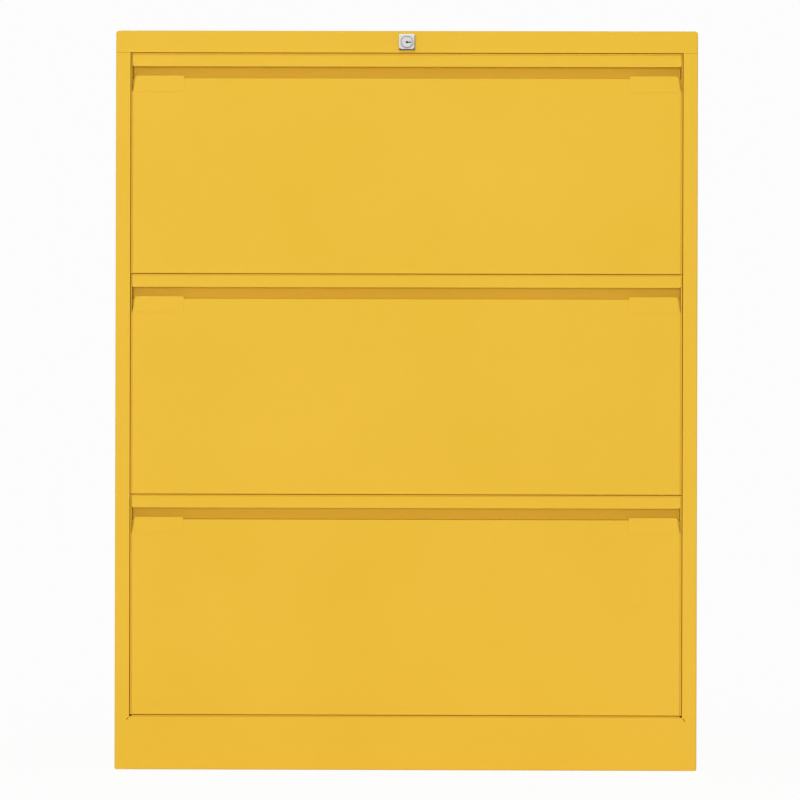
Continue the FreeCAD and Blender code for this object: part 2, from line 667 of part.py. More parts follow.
def lock_shaft():
    """Long shaft from the barrel to the crank at the back of the cabinet."""
    body = rod(SHAFT_DIAMETER, AXIS_Y, at_lock(HOUSING_BACK), CRANK_FRONT - HOUSING_BACK)
    spigot = rod(SPIGOT_DIAMETER, AXIS_Y, at_lock(CRANK_FRONT), CRANK_THICKNESS)
    socket_width = TANG_WIDTH + 2 * HOUSING_CLEARANCE
    socket_end = HOUSING_BACK + TANG_LENGTH + HOUSING_CLEARANCE
    return join(body, spigot).cut(square_bar(socket_width, HOUSING_BACK - OVERRUN, socket_end))


def lock_crank():
    """Arm on the shaft's end. Its pin stands up and to the right while unlocked."""
    pin_at = FreeCAD.Vector(PIN_OFFSET, CRANK_FRONT, PIN_HEIGHT)
    hub = rod(SPIGOT_DIAMETER + 2 * CRANK_RIM, AXIS_Y, at_lock(CRANK_FRONT), CRANK_THICKNESS)
    tip = rod(CRANK_PIN_DIAMETER + CRANK_RIM, AXIS_Y, pin_at, CRANK_THICKNESS)
    pin = rod(CRANK_PIN_DIAMETER, AXIS_Y, pin_at, BAR_BACK - CRANK_FRONT)
    bore_length = CRANK_THICKNESS + 2 * OVERRUN
    bore_diameter = SPIGOT_DIAMETER + 2 * RUNNING_CLEARANCE
    bore = rod(bore_diameter, AXIS_Y, at_lock(CRANK_FRONT - OVERRUN), bore_length)
    return join(hub, tip).cut(bore).fuse(pin).removeSplitter()


def catch_level(number):
    """Underside of a catch's arm, with its tooth clear above the drawer's tab."""
    tab = tray_levels(number)[1] - TAB_DROP
    return tab + TAB_LIP + CATCH_CLEARANCE + CATCH_TOOTH_LENGTH


def lock_bar():
    """Flat bar on the back panel with the crank's slot and one catch for each drawer."""
    half = BAR_WIDTH / 2
    slot_half = CRANK_PIN_DIAMETER / 2 + BAR_SLOT_CLEARANCE
    low = catch_level(DRAWER_COUNT) - BAR_WIDTH
    bar = wide_box(half, BAR_FRONT, BAR_BACK, low, PIN_HEIGHT + slot_half + BAR_END)
    slot = box(
        PIN_OFFSET - slot_half,
        CRANK_RADIUS + slot_half,
        BAR_FRONT - OVERRUN,
        BAR_BACK + OVERRUN,
        PIN_HEIGHT - slot_half,
        PIN_HEIGHT + slot_half,
    )
    catches = []
    for number in range(1, DRAWER_COUNT + 1):
        level = catch_level(number)
        tooth_front = CATCH_TOOTH_BACK - CATCH_TOOTH
        arm = wide_box(CATCH_WIDTH / 2, tooth_front, BAR_FRONT, level, level + CATCH_SHEET)
        foot = level - CATCH_TOOTH_LENGTH
        tooth = wide_box(CATCH_WIDTH / 2, tooth_front, CATCH_TOOTH_BACK, foot, level)
        catches += [arm, tooth]
    return join(bar, *catches).cut(slot)


def shaft_bracket():
    """Angle under the lid that carries the shaft near its rear end."""
    back = CRANK_FRONT - SHAFT_BRACKET_SETBACK + SHAFT_BRACKET_SHEET
    front = back - SHAFT_BRACKET_SHEET
    half = SHAFT_BRACKET_WIDTH / 2
    leaf = wide_box(half, front, back, LOCK_HEIGHT - SHAFT_BRACKET_DROP, LID_UNDERSIDE)
    seat_front = back - SHAFT_BRACKET_FLANGE
    seat = wide_box(half, seat_front, back, LID_UNDERSIDE - SHAFT_BRACKET_SHEET, LID_UNDERSIDE)
    bore_diameter = SHAFT_DIAMETER + 2 * RUNNING_CLEARANCE
    bore = rod(bore_diameter, AXIS_Y, at_lock(front - OVERRUN), SHAFT_BRACKET_SHEET + 2 * OVERRUN)
    return join(leaf, seat).cut(bore)


def bar_guide(number):
    """Strap over the lock bar, on two feet on the back panel."""
    middle = drawer_top(number) - FRONT_HEIGHT / 2
    low = middle - GUIDE_HEIGHT / 2
    high = middle + GUIDE_HEIGHT / 2
    inner = BAR_WIDTH / 2 + BAR_CLEARANCE
    outer = inner + GUIDE_SHEET
    front = BAR_FRONT - BAR_CLEARANCE
    strap = wide_box(outer, front - GUIDE_SHEET, front, low, high)
    leg = box(inner, outer, front - GUIDE_SHEET, BACK_FACE, low, high)
    foot = box(inner, outer + GUIDE_FOOT, BACK_FACE - GUIDE_SHEET, BACK_FACE, low, high)
    return join(strap, leg, foot, mirrored(leg), mirrored(foot))


def lock_brackets():
    """The shaft's bracket and the guides of the lock bar."""
    guides = [bar_guide(number) for number in range(1, DRAWER_COUNT + 1)]
    return Part.makeCompound([shaft_bracket()] + guides)


def save_case():
    """Write the fixed case and its feet."""
    right_side = side_panel()
    right_posts = uprights()
    save("top_panel", top_panel())
    save("left_side_panel", mirrored(right_side))
    save("right_side_panel", right_side)
    save("back_panel", back_panel())
    save("base_panel", base_panel())
    save("front_plinth", front_plinth())
    save("left_uprights", mirrored(right_posts))
    save("right_uprights", right_posts)
    save("top_rail", top_rail())
    save("foot_brackets", foot_brackets())
    for name, place in foot_places().items():
        save(name + "_foot", foot(place))


def save_lock():
    """Write the lock, from its bezel to the bar at the back."""
    save("lock_bezel", lock_bezel())
    save("lock_nut", lock_nut())
    save("lock_barrel", lock_barrel())
    save("lock_shaft", lock_shaft())
    save("lock_crank", lock_crank())
    save("lock_bar", lock_bar())
    save("lock_brackets", lock_brackets())


def save_drawer(number):
    """Write one drawer and its slides."""
    drawer = "drawer_" + str(number) + "_"
    slide = "slide_" + str(number) + "_"
    right_side = tray_side(number)
    save(drawer + "front", drawer_front(number))
    save(drawer + "grip_rail", grip_rail(number))
    save(drawer + "grip_end_plates", grip_end_plates(number))
    save(drawer + "base", tray_base(number))
    save(drawer + "left_side", mirrored(right_side))
    save(drawer + "right_side", right_side)
    save(drawer + "back", tray_back(number))
    save(drawer + "file_rails", file_rails(number))
    inner = slide_member(SLIDE_THICKNESS, INNER_EDGE, INNER_HEIGHT, number)
    middle = slide_member(MIDDLE_WEB, SLIDE_EDGE, MIDDLE_HEIGHT, number)
    outer = slide_member(0, SLIDE_EDGE, SLIDE_HEIGHT, number)
    save(slide + "inner_members", pair(inner))
    save(slide + "middle_members", pair(middle))
    save(slide + "outer_members", pair(outer))
    save(slide + "inner_ball_cages", ball_cages(INNER_CAGE_WEB, INNER_HEIGHT, number))
    save(slide + "outer_ball_cages", ball_cages(OUTER_CAGE_WEB, MIDDLE_HEIGHT, number))


os.makedirs("parts", exist_ok=True)
save_case()
save_lock()
for drawer_number in range(1, DRAWER_COUNT + 1):
    save_drawer(drawer_number)
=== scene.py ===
import json
import logging
import math
from collections.abc import Callable, Sequence
from dataclasses import dataclass
from enum import Enum

import bmesh
import bpy
from mathutils import Matrix, Vector


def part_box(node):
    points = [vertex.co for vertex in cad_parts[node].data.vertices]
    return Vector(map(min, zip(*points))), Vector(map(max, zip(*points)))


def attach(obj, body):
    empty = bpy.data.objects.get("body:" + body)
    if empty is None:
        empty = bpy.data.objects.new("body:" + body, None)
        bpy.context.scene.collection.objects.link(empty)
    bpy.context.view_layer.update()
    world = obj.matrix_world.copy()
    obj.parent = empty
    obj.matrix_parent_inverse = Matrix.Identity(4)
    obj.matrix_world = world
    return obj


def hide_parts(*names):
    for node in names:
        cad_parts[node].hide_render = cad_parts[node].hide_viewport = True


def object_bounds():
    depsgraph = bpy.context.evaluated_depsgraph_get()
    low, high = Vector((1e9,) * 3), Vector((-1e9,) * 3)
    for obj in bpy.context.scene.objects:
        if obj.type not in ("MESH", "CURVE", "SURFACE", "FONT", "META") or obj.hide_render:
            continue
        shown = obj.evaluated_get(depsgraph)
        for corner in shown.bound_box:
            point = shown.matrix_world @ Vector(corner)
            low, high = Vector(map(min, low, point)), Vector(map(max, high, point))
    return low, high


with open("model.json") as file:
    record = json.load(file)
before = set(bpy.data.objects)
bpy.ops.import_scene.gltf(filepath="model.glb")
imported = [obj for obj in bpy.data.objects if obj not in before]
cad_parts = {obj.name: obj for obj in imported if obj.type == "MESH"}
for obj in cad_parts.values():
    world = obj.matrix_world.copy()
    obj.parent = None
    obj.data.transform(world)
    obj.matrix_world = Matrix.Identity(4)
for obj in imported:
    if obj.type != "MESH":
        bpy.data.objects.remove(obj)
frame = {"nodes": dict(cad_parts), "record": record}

# Dresses a three-drawer side filing cabinet in yellow powder coat. Metres, with the front facing -Y.

CAD_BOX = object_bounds()
log = logging.getLogger("cabinet")

MM = 0.001
WELD_DISTANCE = 0.00001
LEVEL = 0.9999
QUARTER_TURN = math.radians(90.0)
ORIGIN = Vector((0.0, 0.0, 0.0))
UP = Vector((0.0, 0.0, 1.0))
DRAWERS = (1, 2, 3)

# Turns, in degrees, above which an edge stays crisp
CUT_CREASE = 30.0
FOLD_CREASE = 35.0
MOULD_CREASE = 40.0
RIVET_CREASE = 45.0
THREAD_CREASE = 50.0
WELD_CREASE = 60.0

MOTTLE_DETAIL = 2.0
MOTTLE_SPREAD = (-0.5, 1.5)
GRAIN_FINE_SHARE = 0.3
ROLLED_STRETCH = (1.0, 0.02, 1.0)
ROLLED_DETAIL = 3.0
ROLLED_SPREAD = (-0.6, 1.6)

THREAD_STEPS = 20
THREAD_ROOT_SHARE = 1.1
THREAD_FLANK_SHARE = 0.42
EDGE_SEGMENTS = 2

Colour = tuple[float, float, float, float]
Outline = Sequence[tuple[float, float]]


class Slot(Enum):
    """Finishes of the cabinet, by the record's own names."""

    PAINT = "yellow_paint"
    ZINC = "zinc_steel"
    CAGE = "cage_steel"
    LOCK = "lock_metal"
    PLASTIC = "foot_plastic"


class Side(Enum):
    """Left and right of the cabinet, as the sign of X."""

    LEFT = -1
    RIGHT = 1


class Facing(Enum):
    """Ways that a piece built along +Z can be turned, as the turn that does it."""

    FRONT = Matrix.Rotation(QUARTER_TURN, 4, "X")
    REAR = Matrix.Rotation(-QUARTER_TURN, 4, "X")
    UPWARDS = Matrix.Identity(4)
    LEFTWARDS = Matrix.Rotation(-QUARTER_TURN, 4, "Y")
    RIGHTWARDS = Matrix.Rotation(QUARTER_TURN, 4, "Y")


# Node wiring


class Wiring:
    """Adds and joins the nodes of one tree."""

    def __init__(self, tree: bpy.types.NodeTree) -> None:
        """Starts on an empty tree.

        Args:
            tree: The node tree to fill.
        """
        self.tree = tree
        self.tree.nodes.clear()

    def add(self, kind: str, **settings: object) -> bpy.types.Node:
        """Adds a node.

        Args:
            kind: The node's type name.
            settings: Properties of the node itself.

        Returns:
            The new node.
        """
        node = self.tree.nodes.new(kind)
        for name, value in settings.items():
            setattr(node, name, value)
        return node

    def join(self, start: bpy.types.NodeSocket, end: bpy.types.NodeSocket) -> None:
        """Links an output to an input.

        Args:
            start: The output.
            end: The input.
        """
        self.tree.links.new(start, end)

    def noise(self, position: bpy.types.NodeSocket, detail: float) -> bpy.types.Node:
        """Adds a noise texture.

        Args:
            position: Where the noise is read.
            detail: How many finer layers it has.

        Returns:
            The noise node.
        """
        node = self.add("ShaderNodeTexNoise")
        node.inputs["Detail"].default_value = detail
        self.join(position, node.inputs["Vector"])
        return node

    def spread(self, value: bpy.types.NodeSocket, low: float, high: float) -> bpy.types.NodeSocket:
        """Maps a value between 0 and 1 onto a range.

        Args:
            value: The varying value.
            low: What 0 becomes.
            high: What 1 becomes.

        Returns:
            The mapped value.
        """
        node = self.add("ShaderNodeMapRange")
        node.inputs["To Min"].default_value = low
        node.inputs["To Max"].default_value = high
        self.join(value, node.inputs["Value"])
        return node.outputs["Result"]

    def tint(self, value: bpy.types.NodeSocket, low: Colour, high: Colour) -> bpy.types.NodeSocket:
        """Mixes two colours by a value between 0 and 1.

        Args:
            value: The varying value.
            low: The colour at 0.
            high: The colour at 1.

        Returns:
            The mixed colour.
        """
        node = self.add("ShaderNodeMix", data_type="RGBA")
        colours = [socket for socket in node.inputs if socket.type == "RGBA"]
        colours[0].default_value = low
        colours[1].default_value = high
        self.join(value, node.inputs["Factor"])
        return [socket for socket in node.outputs if socket.type == "RGBA"][0]


def effect_group(
    name: str,
    values: Sequence[str],
    outcome: str,
    fill: Callable[[Wiring, bpy.types.Node, bpy.types.Node], None],
) -> bpy.types.NodeTree:
    """Makes a node group that reads a position and puts out one varying value.

    Args:
        name: The group's name.
        values: Names of its number inputs.
        outcome: Name of its output.
        fill: Puts the nodes between the group's input and output.

    Returns:
        The group.
    """
    group = bpy.data.node_groups.new(name, "ShaderNodeTree")
    group.interface.new_socket("Position", in_out="INPUT", socket_type="NodeSocketVector")
    for value in values:
        group.interface.new_socket(value, in_out="INPUT", socket_type="NodeSocketFloat")
    group.interface.new_socket(outcome, in_out="OUTPUT", socket_type="NodeSocketFloat")
    wiring = Wiring(group)
    fill(wiring, wiring.add("NodeGroupInput"), wiring.add("NodeGroupOutput"))
    return group


def fill_mottle(wiring: Wiring, start: bpy.types.Node, end: bpy.types.Node) -> None:
    """Fills in broad, soft patches, as in a coat of uneven thickness.

    Args:
        wiring: The group's wiring.
        start: The group's input node.
        end: The group's output node.
    """
    broad = wiring.noise(start.outputs["Position"], MOTTLE_DETAIL)
    wiring.join(start.outputs["Scale"], broad.inputs["Scale"])
    wiring.join(wiring.spread(broad.outputs["Fac"], *MOTTLE_SPREAD), end.inputs["Tone"])


def fill_grain(wiring: Wiring, start: bpy.types.Node, end: bpy.types.Node) -> None:
    """Fills in rounded bumps with a finer layer on them, as on a sprayed or moulded skin.

    Args:
        wiring: The group's wiring.
        start: The group's input node.
        end: The group's output node.
    """
    coarse = wiring.noise(start.outputs["Position"], 0.0)
    wiring.join(start.outputs["Scale"], coarse.inputs["Scale"])
    finer = wiring.add("ShaderNodeMath", operation="MULTIPLY")
    wiring.join(start.outputs["Scale"], finer.inputs[0])
    wiring.join(start.outputs["Fineness"], finer.inputs[1])
    fine = wiring.noise(start.outputs["Position"], 1.0)
    wiring.join(finer.outputs["Value"], fine.inputs["Scale"])
    both = wiring.add("ShaderNodeMix")
    both.inputs["Factor"].default_value = GRAIN_FINE_SHARE
    wiring.join(coarse.outputs["Fac"], both.inputs["A"])
    wiring.join(fine.outputs["Fac"], both.inputs["B"])
    wiring.join(both.outputs["Result"], end.inputs["Height"])


def fill_rolled(wiring: Wiring, start: bpy.types.Node, end: bpy.types.Node) -> None:
    """Fills in lines drawn out along the cabinet's depth, as on rolled or brushed metal.

    Args:
        wiring: The group's wiring.
        start: The group's input node.
        end: The group's output node.
    """
    drawn = wiring.add("ShaderNodeMapping")
    drawn.inputs["Scale"].default_value = ROLLED_STRETCH
    wiring.join(start.outputs["Position"], drawn.inputs["Vector"])
    lines = wiring.noise(drawn.outputs["Vector"], ROLLED_DETAIL)
    wiring.join(start.outputs["Scale"], lines.inputs["Scale"])
    wiring.join(wiring.spread(lines.outputs["Fac"], *ROLLED_SPREAD), end.inputs["Lines"])


MOTTLE = effect_group("Coat mottle", ("Scale",), "Tone", fill_mottle)
GRAIN = effect_group("Skin grain", ("Scale", "Fineness"), "Height", fill_grain)
ROLLED = effect_group("Rolled lines", ("Scale",), "Lines", fill_rolled)


# Finishes


class Surface:
    """A material under way: its wiring, its shader and the position that its patterns read."""

    def __init__(self, name: str) -> None:
        """Starts a material with one shader.

        Args:
            name: The material's name.
        """
        self.material = bpy.data.materials.new(name)
        self.material.use_nodes = True
        self.wiring = Wiring(self.material.node_tree)
        self.shader = self.wiring.add("ShaderNodeBsdfPrincipled")
        output = self.wiring.add("ShaderNodeOutputMaterial")
        self.wiring.join(self.shader.outputs["BSDF"], output.inputs["Surface"])
        self.position = self.wiring.add("ShaderNodeTexCoord").outputs["Object"]

    def effect(self, group: bpy.types.NodeTree, **values: float) -> bpy.types.NodeSocket:
        """Places a shared effect.

        Args:
            group: The effect's node group.
            values: Its number inputs.

        Returns:
            The effect's output.
        """
        node = self.wiring.add("ShaderNodeGroup", node_tree=group)
        for name, value in values.items():
            node.inputs[name].default_value = value
        self.wiring.join(self.position, node.inputs["Position"])
        return node.outputs[0]

    def colour(self, value: bpy.types.NodeSocket, low: Colour, high: Colour) -> None:
        """Lets the colour vary between two.

        Args:
            value: The varying value.
            low: The colour at 0.
            high: The colour at 1.
        """
        self.wiring.join(self.wiring.tint(value, low, high), self.shader.inputs["Base Color"])

    def roughness(self, value: bpy.types.NodeSocket, low: float, high: float) -> None:
        """Lets the roughness vary between two values.

        Args:
            value: The varying value.
            low: The roughness at 0.
            high: The roughness at 1.
        """
        self.wiring.join(self.wiring.spread(value, low, high), self.shader.inputs["Roughness"])

    def relief(self, height: bpy.types.NodeSocket, strength: float, depth: float) -> None:
        """Raises a fine relief.

        Args:
            height: The relief's height between 0 and 1.
            strength: How much of it shows.
            depth: Its real depth.
        """
        bump = self.wiring.add("ShaderNodeBump")
        bump.inputs["Strength"].default_value = strength
        bump.inputs["Distance"].default_value = depth
        self.wiring.join(height, bump.inputs["Height"])
        self.wiring.join(bump.outputs["Normal"], self.shader.inputs["Normal"])


@dataclass(frozen=True)
class PowderCoat:
    """Satin powder coat with a faint orange peel."""

    name: str = "yellow powder coat"
    thin: Colour = (0.806, 0.490, 0.036, 1.0)
    thick: Colour = (0.836, 0.512, 0.045, 1.0)
    patch_scale: float = 4.0
    peel_scale: float = 700.0
    peel_fineness: float = 3.0
    peel_strength: float = 0.12
    peel_depth: float = 0.05 * MM
    smooth: float = 0.46
    dull: float = 0.54
    shine: float = 0.20

    def make(self) -> bpy.types.Material:
        """Builds the material.

        Returns:
            The material.
        """
        surface = Surface(self.name)
        surface.shader.inputs["Specular IOR Level"].default_value = self.shine
        tone = surface.effect(MOTTLE, Scale=self.patch_scale)
        surface.colour(tone, self.thin, self.thick)
        surface.roughness(tone, self.smooth, self.dull)
        peel = surface.effect(GRAIN, Scale=self.peel_scale, Fineness=self.peel_fineness)
        surface.relief(peel, self.peel_strength, self.peel_depth)
        return surface.material


@dataclass(frozen=True)
class RolledMetal:
    """Bare or plated metal with lines from rolling or brushing."""

    name: str
    dark: Colour
    light: Colour
    line_scale: float
    smooth: float
    dull: float
    line_depth: float = 0.02 * MM
    line_strength: float = 0.15
    patch_scale: float = 14.0

    def make(self) -> bpy.types.Material:
        """Builds the material.

        Returns:
            The material.
        """
        surface = Surface(self.name)
        surface.shader.inputs["Metallic"].default_value = 1.0
        tone = surface.effect(MOTTLE, Scale=self.patch_scale)
        surface.colour(tone, self.dark, self.light)
        lines = surface.effect(ROLLED, Scale=self.line_scale)
        surface.roughness(lines, self.smooth, self.dull)
        surface.relief(lines, self.line_strength, self.line_depth)
        return surface.material


@dataclass(frozen=True)
class MouldedPlastic:
    """Matt black plastic with a spark-eroded grain."""

    name: str = "moulded black plastic"
    dark: Colour = (0.012, 0.012, 0.013, 1.0)
    light: Colour = (0.026, 0.026, 0.028, 1.0)
    patch_scale: float = 60.0
    grain_scale: float = 2500.0
    grain_fineness: float = 2.5
    grain_strength: float = 0.35
    grain_depth: float = 0.06 * MM
    smooth: float = 0.48
    dull: float = 0.62

    def make(self) -> bpy.types.Material:
        """Builds the material.

        Returns:
            The material.
        """
        surface = Surface(self.name)
        tone = surface.effect(MOTTLE, Scale=self.patch_scale)
        surface.colour(tone, self.dark, self.light)
        surface.roughness(tone, self.smooth, self.dull)
        grain = surface.effect(GRAIN, Scale=self.grain_scale, Fineness=self.grain_fineness)
        surface.relief(grain, self.grain_strength, self.grain_depth)
        return surface.material


BRIGHT_ZINC = RolledMetal(
    name="bright zinc plate",
    dark=(0.52, 0.55, 0.58, 1.0),
    light=(0.68, 0.68, 0.66, 1.0),
    line_scale=900.0,
    smooth=0.26,
    dull=0.40,
)
ROLLED_STEEL = RolledMetal(
    name="rolled cage steel",
    dark=(0.38, 0.39, 0.41, 1.0),
    light=(0.52, 0.52, 0.53, 1.0),
    line_scale=1400.0,
    smooth=0.24,
    dull=0.36,
)
SATIN_NICKEL = RolledMetal(
    name="satin nickel",
    dark=(0.80, 0.80, 0.80, 1.0),
    light=(0.88, 0.88, 0.87, 1.0),
    line_scale=2600.0,
    smooth=0.22,
    dull=0.32,
    patch_scale=90.0,
)


class Finishes:
    """The cabinet's materials, one for each slot."""

    def __init__(self) -> None:
        """Builds every material once."""
        self.by_slot = {
            Slot.PAINT: PowderCoat().make(),
            Slot.ZINC: BRIGHT_ZINC.make(),
            Slot.CAGE: ROLLED_STEEL.make(),
            Slot.LOCK: SATIN_NICKEL.make(),
            Slot.PLASTIC: MouldedPlastic().make(),
        }

    def dress_frame(self) -> None:
        """Gives each construction node the material of its slot."""
        for part in frame["record"]["subparts"]:
            mesh = frame["nodes"][part["node"]].data
            mesh.materials.clear()
            mesh.materials.append(self.by_slot[Slot(part["material_slot"])])

    def piece(self, bm: bmesh.types.BMesh, name: str, slot: Slot, body: str) -> bpy.types.Object:
        """Turns a finished mesh into a piece of the cabinet.

        Args:
            bm: The mesh, in place. It is used up.
            name: The piece's name.
            slot: Its finish.
            body: The body that it moves with.

        Returns:
            The new object.
        """
        mesh = bpy.data.meshes.new(name)
        bm.to_mesh(mesh)
        bm.free()
        mesh.materials.append(self.by_slot[slot])
        made = bpy.data.objects.new(name, mesh)
        bpy.context.scene.collection.objects.link(made)
        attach(made, body)
        log.info("built %s on %s", name, body)
        return made


# Shapes


def lathe(bm: bmesh.types.BMesh, outline: Outline, steps: int) -> None:
    """Spins an open outline about the Z axis.

    Args:
        bm: The mesh to add to.
        outline: Points as radius and height.
        steps: Number of steps in the full turn.
    """
    ring = [bm.verts.new((radius, 0.0, height)) for radius, height in outline]
    edges = [bm.edges.new(ends) for ends in zip(ring, ring[1:])]
    bmesh.ops.spin(
        bm,
        geom=ring + edges,
        cent=ORIGIN,
        axis=UP,
        dvec=ORIGIN,
        angle=math.tau,
        steps=steps,
        use_merge=True,
        use_normal_flip=False,
        use_duplicate=False,
    )
    bmesh.ops.remove_doubles(bm, verts=bm.verts[:], dist=WELD_DISTANCE)
    bmesh.ops.recalc_face_normals(bm, faces=bm.faces[:])


def soft_edges(bm: bmesh.types.BMesh, edges: Sequence[bmesh.types.BMEdge], radius: float) -> None:
    """Rounds chosen edges.

    Args:
        bm: The mesh.
        edges: The edges to round.
        radius: The rounding.
    """
    bmesh.ops.bevel(
        bm,
        geom=list(edges),
        offset=radius,
        offset_type="OFFSET",
        affect="EDGES",
        segments=EDGE_SEGMENTS,
        profile=0.5,
        material=-1,
    )


def draw_loop(
    bm: bmesh.types.BMesh, loop: Sequence[bmesh.types.BMEdge], share: float, rise: float
) -> list[bmesh.types.BMEdge]:
    """Extrudes a loop about the Z axis to a new size and height.

    Args:
        bm: The mesh.
        loop: Edges of the loop.
        share: The new size over the old one.
        rise: How far it moves along Z.

    Returns:
        Edges of the new loop.
    """
    grown = bmesh.ops.extrude_edge_only(bm, edges=list(loop))["geom"]
    verts = [item for item in grown if isinstance(item, bmesh.types.BMVert)]
    bmesh.ops.scale(bm, vec=(share, share, 1.0), verts=verts)
    bmesh.ops.translate(bm, vec=(0.0, 0.0, rise), verts=verts)
    moved = set(verts)
    edges = [item for item in grown if isinstance(item, bmesh.types.BMEdge)]
    return [edge for edge in edges if moved.issuperset(edge.verts)]


def draw_ring(bm: bmesh.types.BMesh, radius: float, height: float, steps: int) -> list[bmesh.types.BMEdge]:
    """Draws a circle about the Z axis.

    Args:
        bm: The mesh to add to.
        radius: The circle's radius.
        height: Its height.
        steps: Number of its edges.

    Returns:
        Its edges.
    """
    verts = bmesh.ops.create_circle(bm, cap_ends=False, segments=steps, radius=radius)["verts"]
    bmesh.ops.translate(bm, vec=(0.0, 0.0, height), verts=verts)
    return list({edge for vert in verts for edge in vert.link_edges})


def fill_level(bm: bmesh.types.BMesh, edges: Sequence[bmesh.types.BMEdge]) -> None:
    """Fills the level ground inside a loop, round any holes in it.

    Args:
        bm: The mesh.
        edges: Edges of the outer loop and of the holes, all at one height.
    """
    bmesh.ops.triangle_fill(bm, edges=list(edges), use_beauty=True, use_dissolve=False, normal=UP)


def plate(outline: Outline, thickness: float, softness: float) -> bmesh.types.BMesh:
    """Builds a flat plate with softened edges, its face at zero and its back below.

    Args:
        outline: Corners of the plate.
        thickness: Its thickness.
        softness: Rounding of its edges.

    Returns:
        The mesh.
    """
    bm = bmesh.new()
    corners = [bm.verts.new((across, up, 0.0)) for across, up in outline]
    face = bm.faces.new(corners)
    sunk = bmesh.ops.extrude_face_region(bm, geom=[face])["geom"]
    verts = [item for item in sunk if isinstance(item, bmesh.types.BMVert)]
    bmesh.ops.translate(bm, vec=(0.0, 0.0, -thickness), verts=verts)
    bmesh.ops.recalc_face_normals(bm, faces=bm.faces[:])
    soft_edges(bm, bm.edges[:], softness)
    return bm


def put(bm: bmesh.types.BMesh, facing: Facing, place: Vector) -> None:
    """Turns a mesh that was built along +Z and sets it in place.

    Args:
        bm: The mesh.
        facing: The way that it is turned.
        place: Where its origin goes.
    """
    bmesh.ops.transform(bm, matrix=Matrix.Translation(place) @ facing.value, verts=bm.verts[:])


def smooth(bm: bmesh.types.BMesh, sharpest: float) -> None:
    """Shades faces smoothly, except across sharp edges and on level ground.

    Args:
        bm: The mesh, built along +Z.
        sharpest: Edges that turn by more than this stay crisp, in degrees.
    """
    for face in bm.faces:
        face.smooth = abs(face.normal.z) < LEVEL
    for edge in bm.edges:
        edge.smooth = len(edge.link_faces) == 2 and edge.calc_face_angle() < math.radians(sharpest)


def merge(parts: Sequence[bmesh.types.BMesh]) -> bmesh.types.BMesh:
    """Puts several meshes into one.

    Args:
        parts: The meshes. They are used up.

    Returns:
        The joined mesh.
    """
    whole = bmesh.new()
    for part in parts:
        mesh = bpy.data.meshes.new("part")
        part.to_mesh(mesh)
        part.free()
        whole.from_mesh(mesh)
        bpy.data.meshes.remove(mesh)
    return whole


# Lock


